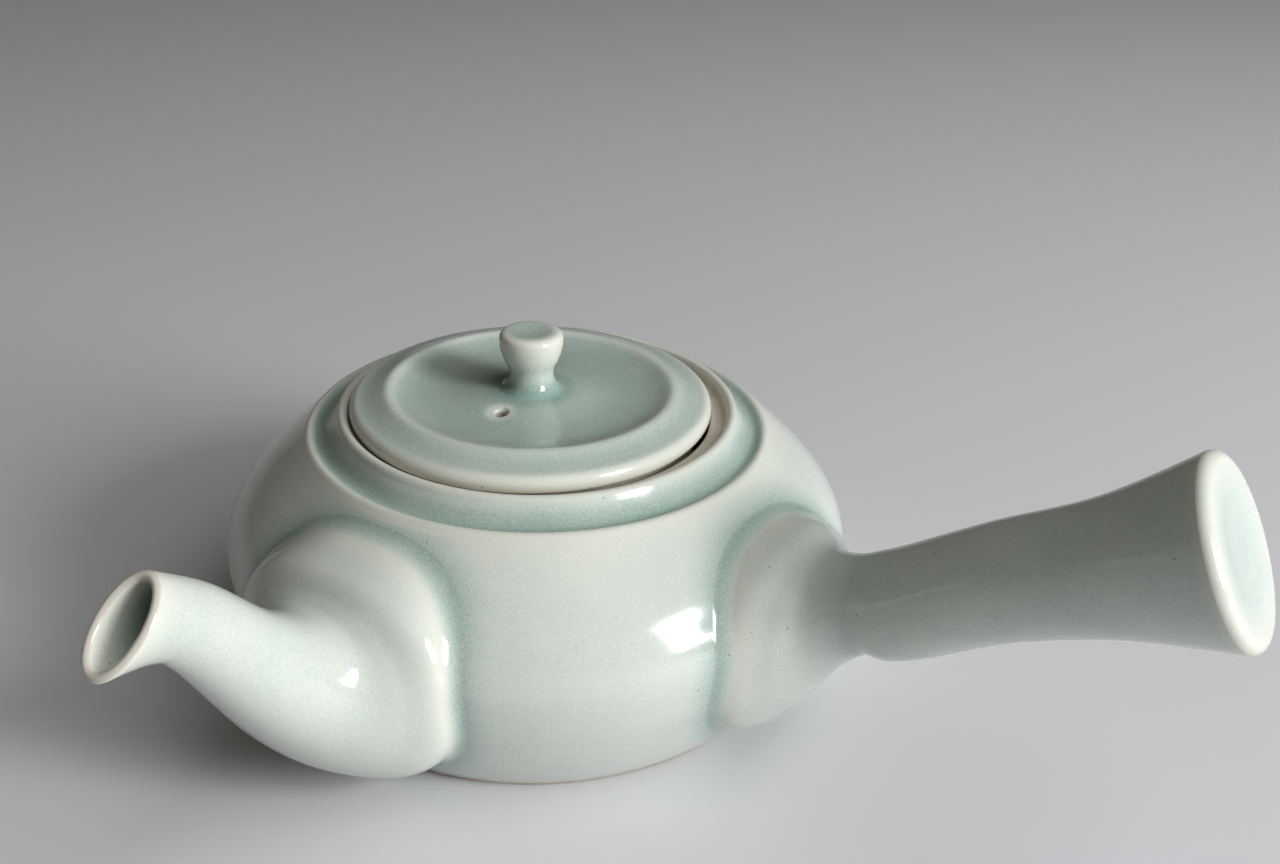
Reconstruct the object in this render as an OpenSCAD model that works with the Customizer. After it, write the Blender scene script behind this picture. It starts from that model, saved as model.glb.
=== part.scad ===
// Side-handled teapot with a lift-off lid.
// Origin: centre of the foot's flat face. +X runs towards the handle, +Z is up.

/* [Pot] */
// Largest radius of the pot
belly_r = 54.2; // [50:0.1:58]
// Height of the widest line of the pot
belly_z = 23.6; // [21:0.1:26]
// Outer radius where the wall meets the foot
foot_r = 44.6; // [42:0.1:46]
// Radius of the raised line round the shoulder
ridge_r = 39.2; // [38:0.1:40]
// Height of that raised line
ridge_z = 44.1; // [43:0.1:45]
// Height of the top of the mouth's rim
rim_z = 47.4; // [46.8:0.1:48.4]
// Radius of the upright wall inside the rim
mouth_r = 32.4; // [32.2:0.1:32.8]
// Radius of the hole that the lid's collar drops into
throat_r = 29.6; // [29.5:0.1:30]
// Height of the ledge that the lid rests on
ledge_z = 45.5; // [44.9:0.1:45.7]
// Thickness of the pot's wall
pot_wall = 3.2; // [2.4:0.1:4]
// Height of the floor inside
floor_z = 4.2; // [3.6:0.1:5]

/* [Spout] */
// Turn of the spout from the handle, seen from above
spout_turn = -88; // [-100:1:-70]
// Thickness of the spout's wall at its lip
lip_wall = 1.5; // [1.2:0.1:1.6]
// Thickness of the spout's wall at its root
spout_wall = 3; // [2.4:0.1:3.5]
// Radius of the hole through the pot's wall behind the spout
pour_r = 11; // [8:0.5:12]
// Height of the middle of that hole
pour_z = 20; // [18:0.5:22]

/* [Strainer] */
// Outer radius of the strainer's dome
dome_r = 15; // [14:0.5:17]
// Thickness of the dome
dome_wall = 2; // [1.6:0.1:2.4]
// Radius of one strainer hole
sieve_r = 0.9; // [0.7:0.05:1]
// Rings of holes round the middle one
sieve_rings = 3; // [1:1:3]

/* [Handle] */
// Thickness of the handle's wall
handle_wall = 3; // [2.4:0.1:3.6]
// Radius of the handle's closed end
end_r = 14.1; // [13:0.1:14.5]
// Thickness of the disc that closes the handle
end_t = 3.4; // [3:0.1:4]
// Depth of the hollow in the disc's outer face
end_dish = 0.8; // [0:0.1:1.2]
// Turn of the end's face away from the handle's own line
end_turn = 8; // [0:1:12]

/* [Lid] */
// Radius of the lid
lid_r = 31; // [30.5:0.1:31]
// Height of the top of the lid's rounded edge
lid_edge_z = 49.1; // [48.5:0.1:49.3]
// Radius of the raised ring on the lid
lid_ring_r = 24.4; // [23:0.1:26]
// Height of that ring
lid_ring_z = 50.6; // [50:0.1:51.5]
// Sideways play that the lid has settled by
lid_play = 1.2; // [0:0.1:1.2]
// Direction of that play, seen from above
play_turn = -145; // [-180:1:180]
// Outer radius of the locating collar under the lid
collar_r = 28.2; // [27.6:0.1:28.2]
// Depth of the collar below the ledge
collar_drop = 5.5; // [4:0.1:7]
// Radius of the vent hole
vent_r = 1.35; // [1:0.05:1.6]
// Distance of the vent hole from the lid's middle
vent_out = 10.2; // [9:0.1:12]
// Direction of the vent hole, seen from above
vent_turn = -82; // [-180:1:180]
// Height of the top of the knob
knob_top_z = 60.7; // [59:0.1:63]
// Largest radius of the knob
knob_r = 5.45; // [5:0.05:6.5]

/* [Hidden] */

// depth that one luted piece bites into the next
bite = 0.2;
// gap between the lid and the ledge it rests on
seat_gap = 0.15;
// thickness of the slices that the lofts are hulled from
slice = 0.02;
// slices between two stations of a loft
steps = 4;

glaze_pale = "#c8d8ce";
glaze_mid = "#b9cec4";
bare_clay = "#e4e0d6";

// Each station is
// [distance from the pot's axis, height, half width, half height, tilt, squareness, sideways turn].
spout_stations = [
  [38.0, 22.0, 20.5, 19.2, 4, 2.4, 0],
  [45.0, 22.0, 20.5, 19.0, 4, 2.4, 0],
  [52.0, 22.0, 20.5, 17.3, 2, 2.4, 0],
  [57.0, 22.2, 16.5, 13.9, 9, 2.3, 0],
  [62.5, 26.0, 11.5, 10.4, 28, 2.2, 0],
  [70.0, 34.2, 7.4, 7.6, 48, 2.1, 0],
  [78.0, 44.1, 5.3, 6.2, 52, 2, 0],
  [82.6, 47.6, 4.6, 6.4, 51, 2, 0],
  [89.7, 50.5, 4.8, 8.0, 47.5, 2, 0]
];
handle_stations = [
  [44.0, 21.6, 19.0, 17.2, 0, 2.2, 0],
  [51.0, 22.0, 18.8, 16.8, 0, 2.2, 0],
  [56.0, 24.3, 14.7, 13.2, 4, 2.1, 0],
  [59.5, 28.0, 10.2, 9.7, 12, 2, 0],
  [64.3, 31.3, 7.9, 7.9, 19, 2, 0],
  [68.2, 32.6, 8.3, 8.6, 21, 2, 0],
  [73.4, 35.5, 8.7, 8.8, 25, 2, 0],
  [86.0, 43.8, 8.8, 9.0, 28, 2, 0],
  [101.0, 51.8, 10.0, 10.2, 28, 2, end_turn / 4],
  [116.5, 60.2, end_r, end_r, 27.5, 2, end_turn]
];
handle_last = handle_stations[len(handle_stations) - 1];

function bezier(p, t) =
  (1 - t) ^ 3 * p[0] + 3 * (1 - t) ^ 2 * t * p[1] + 3 * (1 - t) * t ^ 2 * p[2] + t ^ 3 * p[3];

function curve(p, n) = [for (i = [0:n]) bezier(p, i / n)];

function arc(centre, r, from, to, n) =
  [for (i = [0:n]) centre + r * [cos(from + (to - from) * i / n), sin(from + (to - from) * i / n)]];

function clamp_index(i, rows) = max(0, min(len(rows) - 1, i));

// Row at a fractional place along the stations, on a smooth curve through all of them.
function row_at(rows, x) =
  let (i = clamp_index(floor(x), rows), t = x - i)
  let (a = rows[clamp_index(i - 1, rows)], b = rows[i])
  let (c = rows[clamp_index(i + 1, rows)], d = rows[clamp_index(i + 2, rows)])
  0.5 * (2 * b + (c - a) * t + (2 * a - 5 * b + 4 * c - d) * t ^ 2 + (3 * b - a - 3 * c + d) * t ^ 3);

function signed_pow(v, e) = sign(v) * abs(v) ^ e;

// One thin slice of a loft, shrunk by the wall where the inside is wanted.
module section(row, inset) {
  w = row[2] - inset;
  h = row[3] - inset;
  e = 2 / row[5];
  outline = [for (a = [0:11.25:359]) [h * signed_pow(cos(a), e), w * signed_pow(sin(a), e)]];
  translate([row[0], 0, row[1]])
    rotate([0, 90 - row[4], row[6]])
      linear_extrude(height = slice, center = true)
        polygon(outline);
}

// Chain of hulls through the stations; the wall changes evenly from root to tip.
module loft(rows, wall_root, wall_tip, last) {
  count = steps * last;
  for (i = [0:count - 1]) {
    hull() {
      section(row_at(rows, i / steps), wall_root + (wall_tip - wall_root) * i / count);
      section(row_at(rows, (i + 1) / steps), wall_root + (wall_tip - wall_root) * (i + 1) / count);
    }
  }
}

// Outside of the pot from the foot's edge up to the raised line.
function pot_outside() = concat(
  curve([
    [foot_r, 1.2], [foot_r + 3.4, 4.6],
    [belly_r, belly_z - 8.2], [belly_r, belly_z]
  ], 12),
  curve([
    [belly_r, belly_z], [belly_r, belly_z + 7.7],
    [ridge_r + 7.6, ridge_z - 7.4], [ridge_r + 0.5, ridge_z - 0.5]
  ], 12)
);

// Solid with the pot's outside shape, used to trim what is luted on.
module pot_mandrel(inset) {
  outside = [for (p = pot_outside()) [p[0] - inset, p[1]]];
  rotate_extrude($fn = 96)
    polygon(concat([[0, 1.2]], outside, [[0, ridge_z - 0.5]]));
}

function pot_inside() = concat(
  curve([
    [0, floor_z - 0.2], [20, floor_z - 0.2],
    [30, floor_z], [36, floor_z + 0.3]
  ], 4),
  curve([
    [36, floor_z + 0.3], [46, floor_z + 1.2],
    [belly_r - pot_wall, belly_z - 8], [belly_r - pot_wall, belly_z]
  ], 10),
  curve([
    [belly_r - pot_wall, belly_z], [belly_r - pot_wall, belly_z + 7],
    [ridge_r + 4.2, ridge_z - 8], [ridge_r - 2.6, ridge_z - 2.8]
  ], 10)
);

// The thrown pot: foot, wall, shoulder line, hollow collar, rim and ledge.
module pot_body() {
  rim_curl = 0.95;
  foot = [[0, 1.3], [37, 1.3], [38.2, 0], [foot_r - 1.9, 0], [foot_r - 0.6, 0.5]];
  ridge = [
    [ridge_r, ridge_z], [ridge_r - 0.5, ridge_z - 0.1],
    [ridge_r - 1.2, ridge_z - 0.6], [ridge_r - 1.9, ridge_z - 0.7]
  ];
  collar = curve([
    [ridge_r - 2.4, ridge_z - 0.5], [ridge_r - 3.7, ridge_z + 0.3],
    [mouth_r + 2.1, rim_z - 2], [mouth_r + 2 * rim_curl, rim_z - rim_curl]
  ], 6);
  rim = arc([mouth_r + rim_curl, rim_z - rim_curl], rim_curl, 20, 180, 6);
  seat = [[mouth_r, ledge_z], [throat_r, ledge_z], [throat_r, ledge_z - 2.6], [throat_r + 0.7, ledge_z - 3.2]];
  inside = pot_inside();
  hollow = [for (i = [len(inside) - 1:-1:0]) inside[i]];
  color(glaze_pale)
    difference() {
      rotate_extrude($fn = 96)
        polygon(concat(foot, pot_outside(), ridge, collar, rim, seat, hollow));
      rotate([0, 0, spout_turn])
        translate([belly_r - 12, 0, pour_z])
          rotate([0, 90, 0])
            cylinder(h = 24, r = pour_r, $fn = 64);
    }
}

// Curved spout, hollow from the pot's wall to the oval lip.
module spout() {
  last = len(spout_stations) - 1;
  color(glaze_pale)
    rotate([0, 0, spout_turn])
      difference() {
        loft(spout_stations, 0, 0, last);
        loft(spout_stations, spout_wall, lip_wall, last);
        pot_mandrel(bite);
        mouth_clear(last);
      }
}

// Opens the last slice of the spout's bore.
module mouth_clear(last) {
  tip = spout_stations[last];
  hull() {
    section(tip, lip_wall);
    translate([sin(90 - tip[4]), 0, cos(90 - tip[4])])
      section(tip, lip_wall);
  }
}

// Pierced dome luted inside the pot over the pouring hole.
module strainer() {
  reach = belly_r - pot_wall - 1;
  spacing = 13.5;
  color(glaze_mid)
    rotate([0, 0, spout_turn])
      intersection() {
        difference() {
          translate([reach, 0, pour_z])
            sphere(r = dome_r, $fn = 64);
          translate([reach, 0, pour_z])
            sphere(r = dome_r - dome_wall, $fn = 64);
          for (ring = [0:sieve_rings], k = [0:max(1, 6 * ring) - 1]) {
            translate([reach, 0, pour_z])
              rotate([k * 60 / max(1, ring), 0, 0])
                rotate([0, -90 + ring * spacing, 0])
                  translate([0, 0, dome_r - 2 * dome_wall])
                    cylinder(h = 3 * dome_wall, r = sieve_r, $fn = 16);
          }
        }
        hollow_mandrel(bite);
      }
}

// Solid that fills the pot's inside, grown by the bite.
module hollow_mandrel(grow) {
  inside = [for (p = pot_inside()) [p[0] == 0 ? 0 : p[0] + grow, p[1] - grow]];
  rotate_extrude($fn = 96)
    polygon(concat(inside, [[0, ridge_z - 3]]));
}

// Hollow grip that rises from the side of the pot.
module handle() {
  last = len(handle_stations) - 1;
  color(glaze_pale)
    difference() {
      loft(handle_stations, 0, 0, last);
      loft(handle_stations, handle_wall, handle_wall, last);
      pot_mandrel(bite);
      end_frame()
        translate([0, 0, -end_t + bite])
          cylinder(h = 3 * end_t, r = 2 * end_r, $fn = 48);
    }
}

// Places its children on the handle's end, with +Z out of the handle.
module end_frame() {
  translate([handle_last[0], 0, handle_last[1]])
    rotate([0, 90 - handle_last[4], handle_last[6]])
      children();
}

// Rounded disc that closes the handle, slightly hollow outside.
module handle_end() {
  edge = end_t / 2;
  face = [[end_r - edge - 1.6, -0.25], [end_r - edge - 4, -end_dish * 0.75], [0, -end_dish]];
  color(glaze_pale)
    end_frame()
      rotate_extrude($fn = 64)
        polygon(concat(
          [[0, -end_t]],
          [[end_r - edge, -end_t]],
          arc([end_r - edge, -edge], edge, -80, 90, 8),
          face
        ));
}

// Everything on the lid is drawn round its own middle.
module lid_frame() {
  translate(lid_play * [cos(play_turn), sin(play_turn), 0])
    children();
}

// Round lid with a rolled edge, a raised ring and a sunken middle.
module lid_plate() {
  under_z = ledge_z + seat_gap;
  edge = (lid_edge_z - under_z) / 2;
  top = curve([
    [lid_r - edge, lid_edge_z], [lid_r - edge - 1.5, lid_edge_z + 0.1],
    [lid_ring_r + 1.6, lid_ring_z], [lid_ring_r, lid_ring_z]
  ], 6);
  dish = curve([
    [lid_ring_r - 0.8, lid_ring_z - 0.1], [lid_ring_r - 3.2, lid_ring_z - 0.9],
    [lid_ring_r - 6, lid_ring_z - 1.4], [lid_ring_r - 9.4, lid_ring_z - 1.3]
  ], 6);
  color(glaze_mid)
    lid_frame()
      difference() {
        rotate_extrude($fn = 96)
          polygon(concat(
            [[0, under_z + 1.1], [collar_r - 3.6, under_z + 1.1], [collar_r - 3, under_z]],
            arc([lid_r - edge, under_z + edge], edge, -90, 80, 10),
            top,
            dish,
            [[6, lid_ring_z - 0.3], [0, lid_ring_z]]
          ));
        rotate([0, 0, vent_turn])
          translate([vent_out, 0, ledge_z - 5])
            cylinder(h = 20, r = vent_r, $fn = 32);
      }
}

// Ring under the lid that keeps it in the mouth.
module lid_collar() {
  wall = 3;
  top_z = ledge_z + seat_gap + bite;
  low_z = ledge_z - collar_drop;
  color(bare_clay)
    lid_frame()
      rotate_extrude($fn = 96)
        polygon([
          [collar_r - wall, top_z], [collar_r - wall, low_z + 0.6], [collar_r - wall + 0.6, low_z],
          [collar_r - 0.9, low_z], [collar_r, low_z + 0.9], [collar_r, top_z]
        ]);
}

// Waisted knob with a rounded rim and a dished top.
module lid_knob() {
  base_z = lid_ring_z - 0.6;
  rim = 0.9;
  waist = curve([
    [5.4, base_z], [3.6, base_z + 1.1],
    [3.1, base_z + 4.5], [knob_r - 0.6, knob_top_z - 3.2]
  ], 10);
  color(glaze_pale)
    lid_frame()
      rotate_extrude($fn = 64)
        polygon(concat(
          [[0, base_z]],
          waist,
          arc([knob_r - rim, knob_top_z - rim - 0.6], rim, -20, 60, 4),
          [[knob_r - 1.4, knob_top_z - 0.1], [knob_r - 1.9, knob_top_z]],
          [[knob_r - 2.8, knob_top_z - 0.25], [0, knob_top_z - 0.6]]
        ));
}

pot_body();
spout();
strainer();
handle();
handle_end();
lid_plate();
lid_collar();
lid_knob();
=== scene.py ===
from math import cos, pi, radians, sin, sqrt

import bmesh
import bpy
import numpy as np
from mathutils import Matrix, Vector


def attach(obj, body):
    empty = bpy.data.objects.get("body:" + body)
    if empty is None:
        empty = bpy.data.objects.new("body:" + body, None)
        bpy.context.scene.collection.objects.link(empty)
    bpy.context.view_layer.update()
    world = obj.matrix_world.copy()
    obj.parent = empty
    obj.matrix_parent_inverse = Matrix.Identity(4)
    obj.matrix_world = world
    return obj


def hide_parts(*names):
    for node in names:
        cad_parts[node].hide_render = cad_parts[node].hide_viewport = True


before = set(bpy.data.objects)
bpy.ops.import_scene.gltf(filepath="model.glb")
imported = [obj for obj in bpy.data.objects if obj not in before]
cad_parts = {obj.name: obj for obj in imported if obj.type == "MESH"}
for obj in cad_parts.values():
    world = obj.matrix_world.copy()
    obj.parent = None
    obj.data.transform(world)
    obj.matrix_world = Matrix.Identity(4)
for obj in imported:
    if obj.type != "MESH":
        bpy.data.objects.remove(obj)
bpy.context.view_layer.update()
mm = 0.001


# small helpers; outlines are in millimetres, as (radius, height)

def limited(value):
    return min(1, max(0, value))


def bell(x, middle, width):
    return float(np.exp(-((x - middle) / width) ** 2))


def between(x, stops):
    # straight lines between (place, value) stops
    return float(np.interp(x, [stop[0] for stop in stops], [stop[1] for stop in stops]))


def curvePoints(a, b, c, d, count=24):
    points = []
    for i in range(count + 1):
        t = i / count
        weights = ((1 - t) ** 3, 3 * (1 - t) ** 2 * t, 3 * (1 - t) * t * t, t ** 3)
        corners = list(zip(weights, (a, b, c, d)))
        points.append(tuple(sum(weight * corner[k] for weight, corner in corners) for k in (0, 1)))
    return points


def arcPoints(centre, radius, start, stop, count=12):
    angles = [radians(start + (stop - start) * i / count) for i in range(count + 1)]
    return [(centre[0] + radius * cos(a), centre[1] + radius * sin(a)) for a in angles]


def evenPoints(points, gap):
    # the same line walked in equal steps, so that smoothing and colour see it evenly
    line = np.array(points)
    run = np.concatenate([[0], np.cumsum(np.hypot(*np.diff(line, axis=0).T))])
    stops = np.linspace(0, run[-1], max(2, round(run[-1] / gap)) + 1)
    return list(zip(np.interp(stops, run, line[:, 0]), np.interp(stops, run, line[:, 1])))


def spinOutline(outline, steps):
    bm = bmesh.new()
    verts = [bm.verts.new((r * mm, 0, z * mm)) for r, z in outline]
    edges = [bm.edges.new(pair) for pair in zip(verts, verts[1:])]
    bmesh.ops.spin(bm, geom=verts + edges, axis=(0, 0, 1), cent=(0, 0, 0),
                   angle=2 * pi, steps=steps, use_merge=True)
    bmesh.ops.remove_doubles(bm, verts=bm.verts, dist=1e-6)
    bmesh.ops.recalc_face_normals(bm, faces=bm.faces)
    return bm


def finishPiece(name, bm, materials, body, slot, *nodes):
    mesh = bpy.data.meshes.new(name)
    bm.to_mesh(mesh)
    bm.free()
    for material in materials:
        mesh.materials.append(material)
    mesh.shade_smooth()
    piece = bpy.data.objects.new(name, mesh)
    bpy.context.scene.collection.objects.link(piece)
    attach(piece, body)
    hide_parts(*nodes)
    return piece


def storePool(piece, extra, reach=2.2):
    # Glaze gathers where the surface lies below its own smoothed copy and thins where it stands above.
    # extra(x, y, z, bend) turns that bend into the glaze's depth at a place, given in mm.
    mesh = piece.data
    count = len(mesh.vertices)
    normals = np.empty(count * 3)
    mesh.vertices.foreach_get("normal", normals)
    normals = normals.reshape(-1, 3)
    start = np.empty(count * 3)
    mesh.vertices.foreach_get("co", start)
    start = start.reshape(-1, 3)
    bm = bmesh.new()
    bm.from_mesh(mesh)
    spacing = np.mean([edge.calc_length() for edge in list(bm.edges)[::7]]) / mm
    total = np.zeros(count)
    done = 0
    for scale, weight in ((reach * 0.45, 1.0), (reach, 0.8), (reach * 2.2, 0.4)):
        rounds = max(2, round(2 * (scale / spacing) ** 2))
        for _ in range(rounds - done):
            bmesh.ops.smooth_vert(bm, verts=bm.verts, factor=0.5,
                                  use_axis_x=True, use_axis_y=True, use_axis_z=True)
        done = max(done, rounds)
        moved = np.array([v.co[:] for v in bm.verts]) - start
        total += weight * (moved * normals).sum(axis=1) / (scale * mm)
    bm.free()
    total = np.clip(total, -0.9, 0.9)
    total = np.array([extra(*place, bend) for place, bend in zip(start / mm, total)])
    layer = mesh.attributes.new("glazePool", "FLOAT", "POINT")
    layer.data.foreach_set("value", np.clip(total, -1.6, 1.3).astype(np.float32))


def linearColour(text):
    parts = [int(text[i:i + 2], 16) / 255 for i in (1, 3, 5)]
    return [c / 12.92 if c <= 0.04045 else ((c + 0.055) / 1.055) ** 2.4 for c in parts] + [1.0]


def addNode(tree, kind, inputs=None, **settings):
    node = tree.nodes.new(kind)
    for name, value in settings.items():
        setattr(node, name, value)
    for name, value in (inputs or {}).items():
        if isinstance(value, bpy.types.NodeSocket):
            tree.links.new(value, node.inputs[name])
        else:
            node.inputs[name].default_value = value
    return node


def rampNode(tree, factor, stops):
    node = addNode(tree, "ShaderNodeValToRGB", {"Fac": factor})
    ramp = node.color_ramp
    while len(ramp.elements) < len(stops):
        ramp.elements.new(0.5)
    for element, (place, colour) in zip(ramp.elements, stops):
        element.position = place
        element.color = linearColour(colour)
    return node.outputs["Color"]


def newMaterial(name):
    material = bpy.data.materials.new(name)
    material.use_nodes = True
    tree = material.node_tree
    shader = tree.nodes["Principled BSDF"]
    return material, tree, shader


# Celadon: iron-tinted feldspar glaze fired in reduction over white porcelain. Thick glaze is blue-green,
# thin glaze on an edge lets the clay show cream, and fine bubbles and grains make it look misty.
celadonMix = {
    "edge": "#dfddd1", "thin": "#d8dace", "plain": "#cbd2ca",
    "mint": "#b8c6bd", "deep": "#a3b4aa", "pool": "#86a297",
    # toasted brown: bare clay where glaze ran off a thin lip, and painted shade in the lid's vent bore
    "speck": "#4a4234", "toastedAndBoreShade": "#94856f",
    "grain": 0.28,     # mm between the misty grains
    "cloud": 11.0,     # mm between the slow drifts of tone
    "throwing": 2.6,   # mm between the soft rings left by the thrower's fingers
    "speckCell": 3.6,  # mm between possible iron specks
}


def celadonGlaze():
    mix = celadonMix
    material, tree, shader = newMaterial("celadonGlaze")
    place = addNode(tree, "ShaderNodeTexCoord").outputs["Object"]
    pool = addNode(tree, "ShaderNodeAttribute", attribute_name="glazePool").outputs["Fac"]
    cloud = addNode(tree, "ShaderNodeTexNoise",
                    {"Vector": place, "Scale": 1 / (mix["cloud"] * mm), "Detail": 3.0})
    grain = addNode(tree, "ShaderNodeTexNoise",
                    {"Vector": place, "Scale": 1 / (mix["grain"] * mm), "Detail": 2.0, "Roughness": 0.65})
    stretched = addNode(tree, "ShaderNodeVectorMath", {0: place, 1: (0.06, 0.06, 1.0)},
                        operation="MULTIPLY")
    rings = addNode(tree, "ShaderNodeTexNoise",
                    {"Vector": stretched.outputs[0], "Scale": 1 / (mix["throwing"] * mm), "Detail": 1.0})
    drift = addNode(tree, "ShaderNodeMath", {0: cloud.outputs["Fac"], 1: 0.20, 2: -0.10},
                    operation="MULTIPLY_ADD")
    banded = addNode(tree, "ShaderNodeMath", {0: rings.outputs["Fac"], 1: 0.07, 2: drift.outputs[0]},
                     operation="MULTIPLY_ADD")
    misty = addNode(tree, "ShaderNodeMath", {0: grain.outputs["Fac"], 1: 0.8, 2: banded.outputs[0]},
                    operation="MULTIPLY_ADD")
    depth = addNode(tree, "ShaderNodeMath", {0: pool, 1: 0.5, 2: misty.outputs[0]},
                    operation="MULTIPLY_ADD")
    shift = addNode(tree, "ShaderNodeMath", {0: depth.outputs[0], 1: 0.04}, operation="SUBTRACT")
    colour = rampNode(tree, shift.outputs[0], [
        (0.0, mix["edge"]), (0.2, mix["thin"]), (0.4, mix["plain"]), (0.6, mix["mint"]),
        (0.8, mix["deep"]), (1.0, mix["pool"])])
    cell = addNode(tree, "ShaderNodeTexVoronoi",
                   {"Vector": place, "Scale": 1 / (mix["speckCell"] * mm), "Randomness": 1.0})
    rare = addNode(tree, "ShaderNodeMath", {0: cell.outputs["Color"], 1: 0.6}, operation="GREATER_THAN")
    near = addNode(tree, "ShaderNodeMapRange",
                   {"Value": cell.outputs["Distance"], "From Min": 0.025, "From Max": 0.055,
                    "To Min": 0.7, "To Max": 0.0})
    speck = addNode(tree, "ShaderNodeMath", {0: rare.outputs[0], 1: near.outputs[0]}, operation="MULTIPLY")
    base = addNode(tree, "ShaderNodeMix", {"Factor": speck.outputs[0]}, data_type="RGBA")
    tree.links.new(colour, base.inputs["A"])
    base.inputs["B"].default_value = linearColour(mix["speck"])
    # how far the colour turns toasted brown: real toasting on thin lips, painted shade in the vent bore
    toastAndShadeAmount = addNode(tree, "ShaderNodeMapRange",
                    {"Value": pool, "From Min": -0.85, "From Max": -1.6, "To Min": 0.0, "To Max": 0.65})
    rim = addNode(tree, "ShaderNodeMix", {"Factor": toastAndShadeAmount.outputs[0]}, data_type="RGBA")
    tree.links.new(base.outputs["Result"], rim.inputs["A"])
    rim.inputs["B"].default_value = linearColour(mix["toastedAndBoreShade"])    # glaze run off a thin lip; the same brown is the painted shade in the lid's vent bore
    tree.links.new(rim.outputs["Result"], shader.inputs["Base Color"])
    ripple = addNode(tree, "ShaderNodeTexNoise", {"Vector": place, "Scale": 1 / (5.0 * mm), "Detail": 1.0})
    swell = addNode(tree, "ShaderNodeBump",
                    {"Height": ripple.outputs["Fac"], "Strength": 0.3, "Distance": 0.08 * mm})
    thrown = addNode(tree, "ShaderNodeBump",
                     {"Height": rings.outputs["Fac"], "Strength": 0.25, "Distance": 0.05 * mm,
                      "Normal": swell.outputs["Normal"]})
    peel = addNode(tree, "ShaderNodeBump",
                   {"Height": grain.outputs["Fac"], "Strength": 0.45, "Distance": 0.025 * mm,
                    "Normal": thrown.outputs["Normal"]})
    tree.links.new(peel.outputs["Normal"], shader.inputs["Normal"])
    shader.inputs["Roughness"].default_value = 0.09
    shader.inputs["IOR"].default_value = 1.52
    return material


# Bare porcelain: unglazed so that the lid and the foot don't stick in the kiln. Smooth, matt, warm white.
clayMix = {"low": "#bcb2a0", "middle": "#cfc7b7", "high": "#ddd7ca"}


def bareClay():
    material, tree, shader = newMaterial("barePorcelain")
    place = addNode(tree, "ShaderNodeTexCoord").outputs["Object"]
    grit = addNode(tree, "ShaderNodeTexNoise",
                   {"Vector": place, "Scale": 1 / (0.35 * mm), "Detail": 3.0})
    tone = addNode(tree, "ShaderNodeTexNoise", {"Vector": place, "Scale": 1 / (6 * mm), "Detail": 2.0})
    both = addNode(tree, "ShaderNodeMath", {0: grit.outputs["Fac"], 1: 0.4, 2: tone.outputs["Fac"]},
                   operation="MULTIPLY_ADD")
    colour = rampNode(tree, both.outputs[0], [
        (0.35, clayMix["low"]), (0.7, clayMix["middle"]), (1.0, clayMix["high"])])
    tree.links.new(colour, shader.inputs["Base Color"])
    bump = addNode(tree, "ShaderNodeBump",
                   {"Height": grit.outputs["Fac"], "Strength": 0.3, "Distance": 0.03 * mm})
    tree.links.new(bump.outputs["Normal"], shader.inputs["Normal"])
    shader.inputs["Roughness"].default_value = 0.72
    return material


celadon = celadonGlaze()
clay = bareClay()
print("materials ready")


# the thrown pot, in mm
pot = {
    "bellyR": 54.2, "bellyZ": 23.6, "footR": 44.6,
    "ridgeR": 39.2, "ridgeZ": 44.1,
    "rimZ": 47.4, "mouthR": 32.4, "throatR": 29.6, "ledgeZ": 45.5,
    "wall": 3.2, "floorZ": 4.2, "pourR": 11, "pourZ": 20,
    "gap": 0.6,    # between the rings of the outer skin
    "turns": 320,
}

potOutside = (
    curvePoints((pot["footR"], 1.2), (pot["footR"] + 3.4, 4.6),
                (pot["bellyR"], pot["bellyZ"] - 8.2), (pot["bellyR"], pot["bellyZ"]))
    + curvePoints((pot["bellyR"], pot["bellyZ"]), (pot["bellyR"], pot["bellyZ"] + 7.7),
                  (pot["ridgeR"] + 7.6, pot["ridgeZ"] - 7.4), (pot["ridgeR"] + 0.6, pot["ridgeZ"] - 0.5))
)


def potRadius(height):
    points = np.array(potOutside)
    return float(np.interp(height, points[:, 1], points[:, 0]))


def aboveWall(radius, height):
    # distance of a point from the pot's outside, along the wall's own normal
    slope = (potRadius(height + 0.3) - potRadius(height - 0.3)) / 0.6
    return (radius - potRadius(height)) / sqrt(1 + slope * slope)


def potOutline():
    p = pot
    ridgeR, ridgeZ, mouthR, rimZ = p["ridgeR"], p["ridgeZ"], p["mouthR"], p["rimZ"]
    throatR, ledgeZ = p["throatR"], p["ledgeZ"]
    insideR, bellyZ = p["bellyR"] - p["wall"], p["bellyZ"]
    foot = [(0, 1.3), (36.6, 1.3)] + arcPoints((37.6, 0.9), 0.9, 150, 270, 4)
    foot += arcPoints((p["footR"] - 1.4, 1.0), 1.0, 270, 350, 6)
    ridge = arcPoints((ridgeR - 0.2, ridgeZ - 0.85), 0.85, 48, 128, 8)
    moat = curvePoints((ridgeR - 1.15, ridgeZ - 0.45), (ridgeR - 2.5, ridgeZ - 1.15),
                       (mouthR + 3.4, ridgeZ + 0.6), (mouthR + 1.95, rimZ - 1.0))
    rim = arcPoints((mouthR + 0.98, rimZ - 0.98), 0.98, 10, 180, 14)
    seat = [(mouthR, ledgeZ + 0.3), (mouthR - 0.3, ledgeZ), (throatR + 0.15, ledgeZ),
            (throatR, ledgeZ - 0.15), (throatR, ledgeZ - 2.4), (throatR + 0.8, ledgeZ - 3.2)]
    shoulder = curvePoints((ridgeR - 2.6, ridgeZ - 2.8), (ridgeR + 4.2, ridgeZ - 8),
                           (insideR, bellyZ + 7), (insideR, bellyZ))
    lower = curvePoints((insideR, bellyZ), (insideR, bellyZ - 8),
                        (46, p["floorZ"] + 1.2), (36, p["floorZ"] + 0.3))
    floor = [(20, p["floorZ"]), (0, p["floorZ"] - 0.2)]
    glazed = evenPoints(potOutside + ridge + moat + rim, p["gap"])
    inside = evenPoints(shoulder + lower + floor, 1.4)
    return evenPoints(foot, 0.8) + glazed[1:] + evenPoints(seat, 0.45)[1:] + inside


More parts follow.
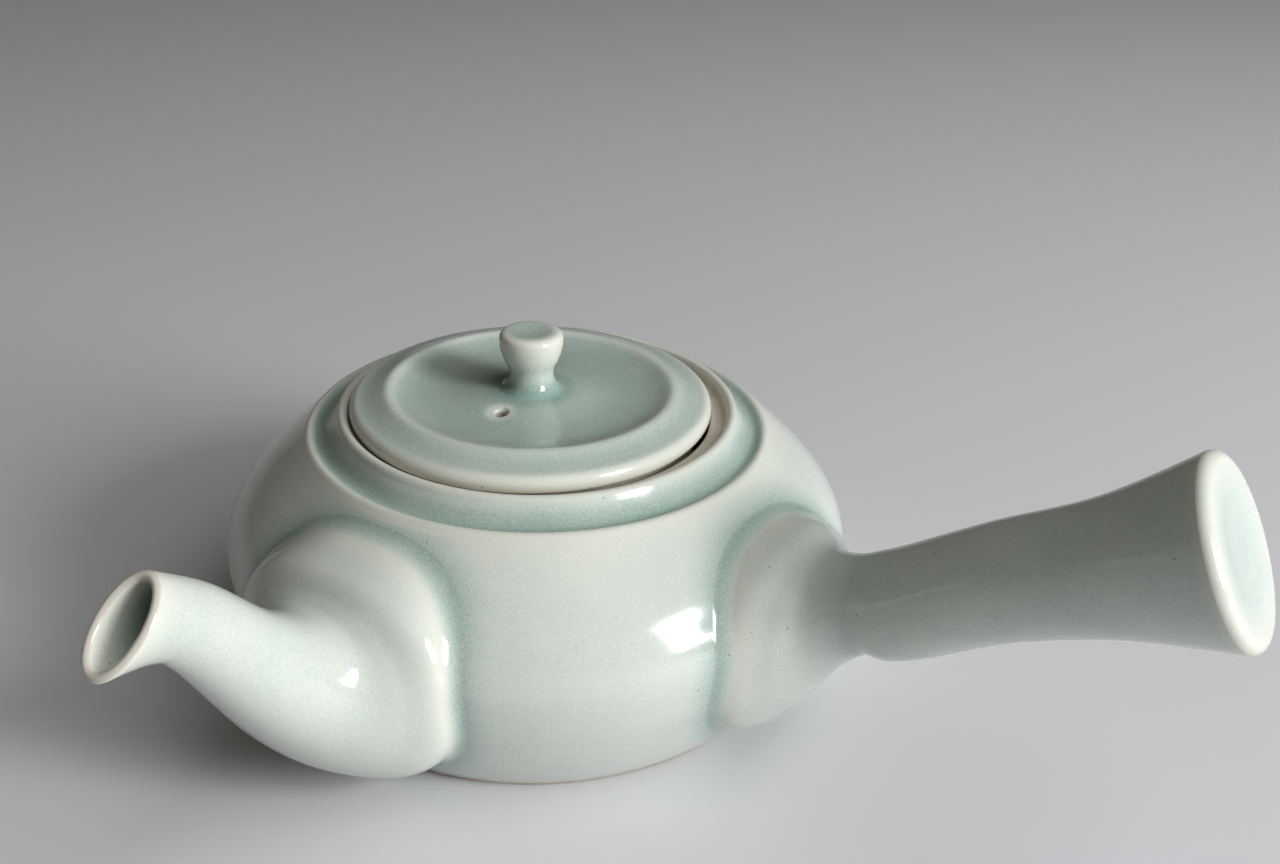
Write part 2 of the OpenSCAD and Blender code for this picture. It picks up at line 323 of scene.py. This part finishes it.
# Spout and handle are lofts through stations, each
# (distance from the pot's axis, height, half width, half height, tilt, squareness, sideways turn).
spout = {
    "turn": -88, "wallRoot": 3.0, "wallLip": 1.5,
    "stations": [
        (38.0, 22.0, 20.5, 19.2, 4, 2.4, 0),
        (45.0, 22.0, 20.5, 19.0, 4, 2.4, 0),
        (52.0, 22.0, 20.5, 17.3, 2, 2.4, 0),
        (57.0, 22.2, 16.5, 13.9, 9, 2.3, 0),
        (62.5, 26.0, 11.5, 10.4, 28, 2.2, 0),
        (70.0, 34.2, 7.4, 7.6, 48, 2.1, 0),
        (78.0, 44.1, 5.3, 6.2, 52, 2.0, 0),
        (82.6, 47.6, 4.6, 6.4, 51, 2.0, 0),
        (89.7, 50.5, 4.8, 8.0, 47.5, 2.0, 0),
    ],
}
handle = {
    "turn": 0, "wall": 3.0, "discT": 3.4, "dish": 0.56,
    "stations": [
        (38.0, 21.6, 19.0, 17.4, 0, 2.2, 0),
        (44.0, 21.6, 19.0, 17.2, 0, 2.2, 0),
        (51.0, 22.0, 18.8, 16.8, 0, 2.2, 0),
        (56.0, 24.3, 14.7, 13.2, 4, 2.1, 0),
        (59.5, 28.0, 10.2, 9.7, 12, 2.0, 0),
        (64.3, 31.3, 7.9, 7.9, 19, 2.0, 0),
        (68.2, 32.6, 8.3, 8.6, 21, 2.0, 0),
        (73.4, 35.5, 8.7, 8.8, 25, 2.0, 0),
        (86.0, 43.8, 8.8, 9.0, 28, 2.0, 0),
        (101.0, 51.8, 10.0, 10.2, 28, 2.0, 2),
        (116.5, 60.2, 14.1, 14.1, 27.5, 2.0, 8),
    ],
}
root = {
    "fillet": 1.8,    # mm radius of slip and glaze that rounds the corner between a luted piece and the pot
    "buried": 1.3,    # mm that the piece reaches into the pot's wall
    "valley": 4.5,    # mm over which the glaze beside it runs deeper
    "settled": 3.2,   # place along the stations from which all slices are plain
    "segments": 120,
}


def rowAt(rows, x):
    last = len(rows) - 1
    i = min(max(int(x), 0), last)
    t = x - i
    a, b, c, d = (np.array(rows[min(max(i + k, 0), last)], float) for k in (-1, 0, 1, 2))
    square, cube = 2 * a - 5 * b + 4 * c - d, 3 * b - a - 3 * c + d
    return 0.5 * (2 * b + (c - a) * t + square * t ** 2 + cube * t ** 3)


def signedPower(value, power):
    return abs(value) ** power * (1 if value >= 0 else -1)


def sectionPoint(row, angle, inset=0.0, forward=0.0):
    # one point of a slice, at an angle from its top; inset shrinks the slice, forward moves it along the tube
    reach, height, halfW, halfH, tilt, square, turn = row
    tilt, turn = radians(tilt), radians(turn)
    along = Vector((cos(tilt) * cos(turn), cos(tilt) * sin(turn), sin(tilt)))
    side = Vector((-sin(turn), cos(turn), 0))
    top = along.cross(side)
    at = Vector((reach, 0, height)) + along * forward
    at += top * ((halfH - inset) * signedPower(cos(angle), 2 / square))
    at += side * ((halfW - inset) * signedPower(sin(angle), 2 / square))
    return at


def placeAbove(rows, angle, inset, height):
    # the place along the stations where this line of the loft stands so far above the pot's wall
    low, high = 0.0, 4.0
    for _ in range(16):
        middle = (low + high) / 2
        at = sectionPoint(rowAt(rows, middle), angle, inset)
        if aboveWall(sqrt(at.x ** 2 + at.y ** 2), at.z) < height:
            low = middle
        else:
            high = middle
    return low


class Loft:
    # a ring of points that is extruded and put in its next place, over and over
    def __init__(self, turn, segments):
        self.bm = bmesh.new()
        self.index = self.bm.verts.layers.int.new("index")
        self.turn = Matrix.Rotation(radians(turn), 4, "Z")
        self.segments = segments
        self.ring = bmesh.ops.create_circle(self.bm, cap_ends=False, segments=segments, radius=1)["verts"]
        for i, vert in enumerate(self.ring):
            vert[self.index] = i
        self.started = False

    def add(self, pointAt):
        if self.started:
            members = set(self.ring)
            edges = [e for e in {e for v in self.ring for e in v.link_edges}
                     if e.verts[0] in members and e.verts[1] in members]
            made = bmesh.ops.extrude_edge_only(self.bm, edges=edges)["geom"]
            self.ring = [g for g in made if isinstance(g, bmesh.types.BMVert)]
        self.started = True
        for vert in self.ring:
            i = vert[self.index]
            vert.co = self.turn @ (pointAt(i, 2 * pi * i / self.segments) * mm)

    def sharpen(self):
        # the last ring is a corner, so it isn't shaded as a curve
        members = set(self.ring)
        for edge in self.bm.edges:
            if edge.verts[0] in members and edge.verts[1] in members:
                edge.smooth = False

    def close(self):
        middle = sum((v.co for v in self.ring), Vector()) / len(self.ring)
        bmesh.ops.pointmerge(self.bm, verts=self.ring, merge_co=middle)

    def finish(self):
        openEdges = [e for e in self.bm.edges if len(e.link_faces) == 1]
        if openEdges:
            bmesh.ops.bridge_loops(self.bm, edges=openEdges)
        bmesh.ops.remove_doubles(self.bm, verts=self.bm.verts, dist=1e-7)
        bmesh.ops.recalc_face_normals(self.bm, faces=self.bm.faces)
        return self.bm


def placesAlong(rows, start, stop, gap):
    # places along the stations, at equal steps of length
    fine = np.linspace(start, stop, 400)
    line = np.array([rowAt(rows, x)[:2] for x in fine])
    run = np.concatenate([[0], np.cumsum(np.hypot(*np.diff(line, axis=0).T))])
    return np.interp(np.linspace(0, run[-1], max(2, round(run[-1] / gap)) + 1), run, fine)


def placeBefore(rows, distance):
    # the place along the last two stations that lies so far before the end
    fine = np.linspace(len(rows) - 2, len(rows) - 1, 400)
    end = rowAt(rows, len(rows) - 1)
    for x in fine[::-1]:
        row = rowAt(rows, x)
        if np.hypot(row[0] - end[0], row[1] - end[1]) >= distance:
            return x
    return fine[0]


def addRoot(loft, rows):
    # The skin starts inside the pot's wall, comes out along it, turns up round a fillet and settles
    # into plain slices. The fillet is smaller below and above, near the foot and the ridge.
    count = loft.segments
    angles = [2 * pi * i / count for i in range(count)]
    radius = [root["fillet"] * (1 - 0.65 * max(0, -cos(a)) ** 2 - 0.3 * max(0, cos(a)) ** 2)
              for a in angles]
    profile = [(0.8, -root["buried"]), (1.5, -0.5), (1.45, -0.12), (1.15, -0.03)]
    profile += [(1 - sin(t), 1 - cos(t)) for t in np.linspace(0, pi / 2, 13)]
    for out, up in profile:
        places = [placeAbove(rows, angles[i], -out * radius[i], up if up < 0 else up * radius[i])
                  for i in range(count)]
        loft.add(lambda i, angle: sectionPoint(rowAt(rows, places[i]), angle, -out * radius[i]))
    for share in np.linspace(0, 1, 16)[1:-1]:
        loft.add(lambda i, angle: sectionPoint(
            rowAt(rows, places[i] + (root["settled"] - places[i]) * share), angle))


def addBore(loft, rows, inset):
    # the inside goes back from plain slices to its own start in the pot's wall
    starts = [placeAbove(rows, 2 * pi * i / loft.segments, inset, -root["buried"])
              for i in range(loft.segments)]
    for share in np.linspace(1, 0, 8)[1:]:
        loft.add(lambda i, angle: sectionPoint(
            rowAt(rows, starts[i] + (root["settled"] - starts[i]) * share), angle, inset))


def nearRoot(x, y, z, luted):
    # distance along the wall from a luted piece's outline; it is negative inside the outline
    a = radians(luted["turn"])
    along, side = x * cos(a) + y * sin(a), -x * sin(a) + y * cos(a)
    if along < 30:
        return 99
    rows = luted["stations"]
    row = rowAt(rows, 1 + limited((along - rows[1][0]) / (rows[2][0] - rows[1][0])))
    down = z - row[1]
    q = (abs(side / row[2]) ** row[5] + abs(down / row[3]) ** row[5]) ** (1 / row[5])
    return (q - 1) * sqrt(side * side + down * down) / max(q, 0.01)


def valleyPool(away):
    return 0.85 * max(0, 1 - max(0, away - 1.3) / root["valley"]) ** 1.4


def cutAway(piece, cutter):
    # takes the cutter's shape out of a finished piece and drops the cutter
    tool = bpy.data.objects.new("cutter", bpy.data.meshes.new("cutter"))
    cutter.to_mesh(tool.data)
    cutter.free()
    bpy.context.scene.collection.objects.link(tool)
    cut = piece.modifiers.new("cut", "BOOLEAN")
    cut.operation, cut.solver, cut.object = "DIFFERENCE", "EXACT", tool
    bpy.context.view_layer.update()
    shape = bpy.data.meshes.new_from_object(piece.evaluated_get(bpy.context.evaluated_depsgraph_get()))
    piece.modifiers.clear()
    old, piece.data = piece.data, shape
    shape.name = piece.name
    bpy.data.meshes.remove(old)
    bpy.data.objects.remove(tool)


def potPool(x, y, z, bend):
    out = sqrt(x * x + y * y)
    own = 0.0
    if z > pot["ridgeZ"] - 1.2 and out < pot["ridgeR"] + 0.6:
        own = between(out, [(30, -0.3), (32.4, -0.4), (33.4, -0.4), (34.4, 0.05), (35.4, 0.55),
                            (36.6, 0.8), (37.7, 0.85), (38.3, 0.5), (38.9, -0.1), (39.5, -0.35)])
    elif z > 30 and aboveWall(out, z) > -1.0:
        own = between(z, [(30, 0), (36, -0.06), (40, -0.18), (43.5, -0.4)])
    if 0.8 < z < pot["ridgeZ"] - 1 and aboveWall(out, z) > -1.0:
        own += valleyPool(min(nearRoot(x, y, z, spout), nearRoot(x, y, z, handle)))
    return own + bend * (0.45 if z > pot["ridgeZ"] - 1.2 else 0.8)


def rootPool(luted, tipPool):
    # glaze on a luted piece: pooled in the fillet against the pot, thin on the rounded crest above it
    back = Matrix.Rotation(radians(-luted["turn"]), 4, "Z")

    def pool(x, y, z, bend):
        at = back @ Vector((x, y, z))
        proud = aboveWall(sqrt(at.x ** 2 + at.y ** 2), at.z) if at.z < pot["ridgeZ"] + 2 else 9
        foot = valleyPool(nearRoot(x, y, z, luted)) * limited(1.1 - proud)
        thin = 0.4 * bell(proud, 1.9, 1.0)
        return max(-0.7, tipPool(at, bend * limited(proud / 3))) + foot - thin
    return pool


def makePot():
    bm = spinOutline(potOutline(), pot["turns"])
    for face in bm.faces:
        centre = face.calc_center_median() / mm
        out = sqrt(centre.x ** 2 + centre.y ** 2)
        seat = pot["ledgeZ"] - 3.3 < centre.z < pot["ledgeZ"] + 1.1 and out < pot["mouthR"] + 0.05
        foot = centre.z < 0.75
        face.material_index = 1 if seat or foot else 0
    piece = finishPiece("potShell", bm, [celadon, clay], "pot", "celadon_glaze", "pot_body")
    drill = bmesh.new()
    bmesh.ops.create_cone(drill, cap_ends=True, segments=64, depth=24 * mm,
                          radius1=pot["pourR"] * mm, radius2=pot["pourR"] * mm,
                          matrix=Matrix.Rotation(radians(spout["turn"]), 4, "Z")
                          @ Matrix.Translation(Vector((pot["bellyR"], 0, pot["pourZ"])) * mm)
                          @ Matrix.Rotation(pi / 2, 4, "Y"))
    cutAway(piece, drill)
    storePool(piece, potPool)


def makeSpout():
    rows = spout["stations"]
    lip = spout["wallLip"]
    loft = Loft(spout["turn"], root["segments"])
    stop = placeBefore(rows, lip / 2)
    addRoot(loft, rows)
    for x in placesAlong(rows, root["settled"], stop, 0.6):
        loft.add(lambda i, angle: sectionPoint(rowAt(rows, x), angle))
    tip = rowAt(rows, stop)
    for k in range(1, 10):
        a = pi * k / 9
        loft.add(lambda i, angle: sectionPoint(tip, angle, lip / 2 * (1 - cos(a)), lip / 2 * sin(a)))
    for x in placesAlong(rows, root["settled"], stop, 1.2)[::-1][1:]:
        wall = spout["wallRoot"] + (lip - spout["wallRoot"]) * x / (len(rows) - 1)
        loft.add(lambda i, angle: sectionPoint(rowAt(rows, x), angle, wall))
    addBore(loft, rows, spout["wallRoot"])
    piece = finishPiece("spoutTube", loft.finish(), [celadon], "pot", "celadon_glaze", "spout")
    middle = Vector((tip[0], 0, tip[1]))
    axis = Vector((cos(radians(tip[4])), 0, sin(radians(tip[4]))))
    slices = np.array([rowAt(rows, x) for x in np.linspace(4, len(rows) - 1, 90)])

    def tipPool(at, bend):
        return bend * 0.5 - 0.4 * bell((at - middle).dot(axis), -0.4, 1.8)

    outside = rootPool(spout, tipPool)
    back = Matrix.Rotation(radians(-spout["turn"]), 4, "Z")

    def spoutPool(x, y, z, bend):
        # the lip is toasted where the glaze has run off it, and the bore darkens deeper in: partly a thicker
        # coat, partly painted shade inside the spout
        at = back @ Vector((x, y, z))
        ahead = (at - middle).dot(axis)
        away = np.hypot(slices[:, 0] - at.x, slices[:, 1] - at.z)
        near = slices[away.argmin()]
        bore = (at.y / near[2]) ** 2 + (away.min() / near[3]) ** 2 < 0.62
        # darker deeper in the bore: thicker glaze and painted shade
        thickGlazeAndShade = limited((-ahead - 2) / 5) if bore else 0
        return outside(x, y, z, bend) - 0.85 * bell(ahead, 0.5, 0.4) + thickGlazeAndShade

    storePool(piece, spoutPool)


def makeHandle():
    rows = handle["stations"]
    wall = handle["wall"]
    joint = placeBefore(rows, handle["discT"])
    loft = Loft(handle["turn"], root["segments"])
    addRoot(loft, rows)
    for x in placesAlong(rows, root["settled"], joint, 0.7):
        loft.add(lambda i, angle: sectionPoint(rowAt(rows, x), angle))
    loft.sharpen()
    loft.add(lambda i, angle: sectionPoint(rowAt(rows, joint), angle, wall))
    loft.sharpen()
    for x in placesAlong(rows, root["settled"], joint, 2.0)[::-1][1:]:
        loft.add(lambda i, angle: sectionPoint(rowAt(rows, x), angle, wall))
    addBore(loft, rows, wall)
    piece = finishPiece("handleGrip", loft.finish(), [celadon], "pot", "celadon_glaze", "handle")
    seam = Vector((rowAt(rows, joint)[0], 0, rowAt(rows, joint)[1]))

    def tipPool(at, bend):
        return 0.08 + bend * 0.8 * limited(((seam - at).length - 16) / 6)

    storePool(piece, rootPool(handle, tipPool))


def makeHandleDisc():
    rows = handle["stations"]
    edge = handle["discT"] / 2
    joint = placeBefore(rows, handle["discT"])
    shoulder = placeBefore(rows, edge)
    tip = rowAt(rows, shoulder)
    loft = Loft(handle["turn"], root["segments"])
    loft.add(lambda i, angle: sectionPoint(rowAt(rows, joint), angle, 12))
    loft.add(lambda i, angle: sectionPoint(rowAt(rows, joint), angle, handle["wall"]))
    for x in placesAlong(rows, joint, shoulder, 0.3):
        loft.add(lambda i, angle: sectionPoint(rowAt(rows, x), angle))
        if x == joint:
            loft.sharpen()
    for k in range(1, 13):
        a = pi / 2 * k / 12
        loft.add(lambda i, angle: sectionPoint(tip, angle, edge * (1 - cos(a)), edge * sin(a)))
    radius = tip[2]
    for inset in np.linspace(edge + 0.35, radius - 0.3, 30):
        t = (inset - edge) / (radius - edge)
        part = min(1, t / 0.8)
        sink = handle["dish"] * part * part * (3 - 2 * part)
        loft.add(lambda i, angle: sectionPoint(tip, angle, inset, edge - sink))
    loft.close()
    bmesh.ops.contextual_create(loft.bm, geom=[e for e in loft.bm.edges if len(e.link_faces) == 1])
    piece = finishPiece("handleDisc", loft.finish(), [celadon], "pot", "celadon_glaze", "handle_end")
    tilt, turn = radians(tip[4]), radians(tip[6])
    axis = Vector((cos(tilt) * cos(turn), cos(tilt) * sin(turn), sin(tilt)))
    middle = Vector((tip[0], 0, tip[1]))

    def discPool(x, y, z, bend):
        at = Vector((x, y, z)) - middle
        ahead = at.dot(axis)
        out = (at - axis * ahead).length
        rim = between(out, [(0, 0.3), (7, 0.22), (11, -0.15), (12.8, -0.4)])
        return rim if ahead > 0 else 0.08 + (rim - 0.08) * limited(1 + ahead / 1.5)

    storePool(piece, discPool)


makePot()
print("pot ready")
makeSpout()
makeHandle()
makeHandleDisc()
print("spout and handle ready")


# the lid, in mm and in its own frame before it is moved by its play in the mouth
lid = {
    "radius": 31.0, "edgeZ": 49.1, "ringR": 24.4, "ringZ": 50.6,
    "play": 1.2, "playTurn": -145, "underZ": 45.65,
    "collarR": 28.2, "collarLow": 40.0, "collarWall": 3.0,
    "ventR": 1.35, "ventOut": 10.2, "ventTurn": -82, "ventDimple": 0.35,
    "knobTop": 60.7, "knobR": 5.45,
}
lidCentre = Vector((cos(radians(lid["playTurn"])), sin(radians(lid["playTurn"])), 0)) * lid["play"]
lidShift = Matrix.Translation(lidCentre * mm)
ventPlace = Vector((cos(radians(lid["ventTurn"])), sin(radians(lid["ventTurn"])), 0)) * lid["ventOut"]


def lidOutline():
    p = lid
    edge = (p["edgeZ"] - p["underZ"]) / 2
    ringR, ringZ = p["ringR"], p["ringZ"]
    under = [(0, p["underZ"] + 1.1), (p["collarR"] - 3.6, p["underZ"] + 1.1),
             (p["collarR"] - 3, p["underZ"])]
    rim = arcPoints((p["radius"] - edge, p["underZ"] + edge), edge, -90, 72, 18)
    band = curvePoints((p["radius"] - edge + 0.53, p["edgeZ"] - 0.08), (28.2, p["edgeZ"] + 0.15),
                       (ringR + 2.2, ringZ - 0.75), (ringR + 0.9, ringZ - 0.18))
    ring = curvePoints((ringR + 0.9, ringZ - 0.18), (ringR + 0.3, ringZ + 0.07),
                       (ringR - 0.3, ringZ + 0.07), (ringR - 0.9, ringZ - 0.2), 8)
    dish = curvePoints((ringR - 0.9, ringZ - 0.2), (ringR - 2.3, ringZ - 0.75),
                       (ringR - 4.2, ringZ - 1.45), (ringR - 9.4, ringZ - 1.35))
    rise = curvePoints((ringR - 9.4, ringZ - 1.35), (ringR - 13.5, ringZ - 1.25),
                       (8, ringZ - 0.35), (0, ringZ - 0.1))
    return evenPoints(under, 1.2) + evenPoints(rim + band + ring + dish + rise, 0.42)[1:]


def lidHeight(out):
    # height of the lid's upper face at a distance from its middle
    top = [point for point in lidOutline() if point[1] > lid["edgeZ"] - 0.5]
    top.sort()
    return float(np.interp(out, [point[0] for point in top], [point[1] for point in top]))


def lidPool(x, y, z, bend):
    x, y = x - lidCentre.x, y - lidCentre.y
    out = sqrt(x * x + y * y)
    own = between(out, [(0, 0.68), (18, 0.72), (22.4, 0.6), (23.5, 0.15), (24.3, -0.1),
                        (25.2, 0.25), (27.2, 0.52), (29.0, 0.46), (30.0, 0.05), (30.8, -0.5)])
    own += 0.35 * bell(out, 6.2, 1.6)    # pooled round the knob's foot
    hole = (Vector((x, y, 0)) - ventPlace).length
    if hole < lid["ventR"] + 0.3 and z < lid["ringZ"] - 1.3:
        return -1.5    # painted shade: the deep vent bore is darkened with the toasted brown of bare clay
    return own + bend * 0.3 - 0.8 * bell(hole, 1.9, 0.8)


def makeLidPlate():
    p = lid
    bm = spinOutline(lidOutline(), 256)
    top = lidHeight(p["ventOut"])
    for vert in bm.verts:
        away = (Vector((vert.co.x, vert.co.y, 0)) / mm - ventPlace).length
        if vert.co.z > (top - 1.5) * mm and away < 5:
            vert.co.z -= p["ventDimple"] * bell(away, 0, 1.9) * mm
    bm.transform(lidShift)
    piece = finishPiece("lidPlate", bm, [celadon], "lid", "celadon_glaze", "lid_plate")
    lip = top - p["ventDimple"] * 0.6
    bore = p["ventR"] - 0.25    # the glaze narrows it
    flare = [(bore + 0.4 * (1 - cos(radians(a))), lip - 0.7 + 0.8 * sin(radians(a)))
             for a in range(15, 91, 15)]
    drill = spinOutline([(0, p["underZ"] - 2), (bore, p["underZ"] - 2), (bore, lip - 0.7)] + flare
                        + [(bore + 0.4, lip + 3), (0, lip + 3)], 48)
    drill.transform(lidShift @ Matrix.Translation(ventPlace * mm))
    cutAway(piece, drill)
    storePool(piece, lidPool)


def makeLidCollar():
    p = lid
    top, low, r, w = p["underZ"] + 0.2, p["collarLow"], p["collarR"], p["collarWall"]
    outline = ([(r - w, top), (r - w, low + 1.2)] + arcPoints((r - w + 1.2, low + 1.2), 1.2, 180, 270, 6)
               + arcPoints((r - 1.2, low + 1.2), 1.2, 270, 360, 6) + [(r, top), (r - w, top)])
    bm = spinOutline(evenPoints(outline, 0.5), 192)
    bm.transform(lidShift)
    finishPiece("lidCollar", bm, [clay], "lid", "bare_porcelain", "lid_collar")


def knobPool(x, y, z, bend):
    out = sqrt((x - lidCentre.x) ** 2 + (y - lidCentre.y) ** 2)
    if z > lid["knobTop"] - 0.95 and out < 4.6:
        return between(out, [(0, 0.6), (3.3, 0.5), (4.3, -0.1), (4.6, -0.45)])
    return between(z, [(50, 1.15), (51.2, 1.0), (52.6, 0.45), (54.5, -0.15), (57, -0.5)])


def makeKnob():
    p = lid
    base = lidHeight(6.3) - 0.04
    top, r = p["knobTop"], p["knobR"]
    foot = curvePoints((6.4, base), (5.0, base + 0.05), (4.35, base + 0.75), (3.95, base + 1.9), 12)
    stem = curvePoints((3.95, base + 1.9), (3.5, base + 3.2), (3.95, base + 4.3), (4.55, base + 5.3), 12)
    flare = curvePoints((4.55, base + 5.3), (4.9, base + 6.1), (r - 0.08, top - 3.3), (r, top - 1.95), 10)
    rim = arcPoints((r - 1.15, top - 1.35), 1.15, -12, 82, 10)
    dished = curvePoints((r - 1.0, top - 0.22), (r - 2.0, top + 0.02),
                         (r - 2.6, top - 0.32), (0, top - 0.38), 14)
    outline = [(0, base - 0.3), (6.4, base - 0.3)] + foot + stem + flare + rim + dished
    bm = spinOutline(evenPoints(outline, 0.28), 128)
    bm.transform(lidShift)
    piece = finishPiece("lidKnob", bm, [celadon], "lid", "celadon_glaze", "lid_knob")
    storePool(piece, knobPool, reach=1.5)


makeLidPlate()
makeLidCollar()
makeKnob()
print("lid ready")

# the strainer keeps its own shape and gets the bare porcelain
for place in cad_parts["strainer"].material_slots:
    place.material = clay


# Pale table: smooth, dull, a little grey
table = {"size": 6.0, "colour": "#d9d8db", "roughness": 0.6}


def makeFloor():
    bm = bmesh.new()
    bmesh.ops.create_grid(bm, x_segments=8, y_segments=8, size=table["size"] / 2)
    mesh = bpy.data.meshes.new("floor")
    bm.to_mesh(mesh)
    bm.free()
    material, tree, shader = newMaterial("paleTable")
    shader.inputs["Base Color"].default_value = linearColour(table["colour"])
    shader.inputs["Roughness"].default_value = table["roughness"]
    mesh.materials.append(material)
    floor = bpy.data.objects.new("floor", mesh)
    bpy.context.scene.collection.objects.link(floor)


lights = {
    "window": {"azimuth": 92, "elevation": 23, "distance": 1.1, "size": (0.3, 0.46),
               "power": 10.8, "colour": "#fbfdff"},
    "sky": {"azimuth": 92, "elevation": 50, "distance": 1.3, "size": (1.2, 1.2),
            "power": 7.8, "colour": "#fbfdff"},
    "room": {"azimuth": 20, "elevation": 80, "distance": 1.6, "size": (1.6, 1.6),
             "power": 0.8, "colour": "#f4e4d0"},
}
air = {"colour": "#eee2d4", "strength": 0.06}
view = {"aim": (15.2, 9.0, 42.6), "distance": 260.0, "azimuth": 34.0, "elevation": 26.64,
        "roll": 1.7, "lens": 42.2}    # aim and distance in mm


def towards(azimuth, elevation):
    a, e = radians(azimuth), radians(elevation)
    return Vector((sin(a) * cos(e), -cos(a) * cos(e), sin(e)))


def makeLights():
    aim = Vector((0, 0, 0.03))
    for name, given in lights.items():
        lamp = bpy.data.lights.new(name, "AREA")
        lamp.shape = "RECTANGLE"
        lamp.size, lamp.size_y = given["size"]
        lamp.energy = given["power"]
        lamp.color = linearColour(given["colour"])[:3]
        place = bpy.data.objects.new(name, lamp)
        direction = towards(given["azimuth"], given["elevation"])
        place.location = aim + direction * given["distance"]
        place.rotation_euler = direction.to_track_quat("Z", "Y").to_euler()
        place.visible_glossy = name == "window"    # only the window shows as a highlight
        bpy.context.scene.collection.objects.link(place)
    world = bpy.data.worlds.new("studio")
    world.use_nodes = True
    background = world.node_tree.nodes["Background"]
    background.inputs["Color"].default_value = linearColour(air["colour"])
    background.inputs["Strength"].default_value = air["strength"]
    bpy.context.scene.world = world
    bpy.context.scene.view_settings.view_transform = "Standard"


def makeCamera():
    lens = bpy.data.cameras.new("camera")
    lens.lens = view["lens"]
    lens.sensor_width = 36
    lens.clip_start = 0.01
    camera = bpy.data.objects.new("camera", lens)
    direction = towards(view["azimuth"], view["elevation"])
    camera.location = Vector(view["aim"]) * mm + direction * view["distance"] * mm
    turn = direction.to_track_quat("Z", "Y").to_matrix() @ Matrix.Rotation(radians(view["roll"]), 3, "Z")
    camera.rotation_euler = turn.to_euler()
    bpy.context.scene.collection.objects.link(camera)
    bpy.context.scene.camera = camera


makeFloor()
makeLights()
makeCamera()
print("stage ready")
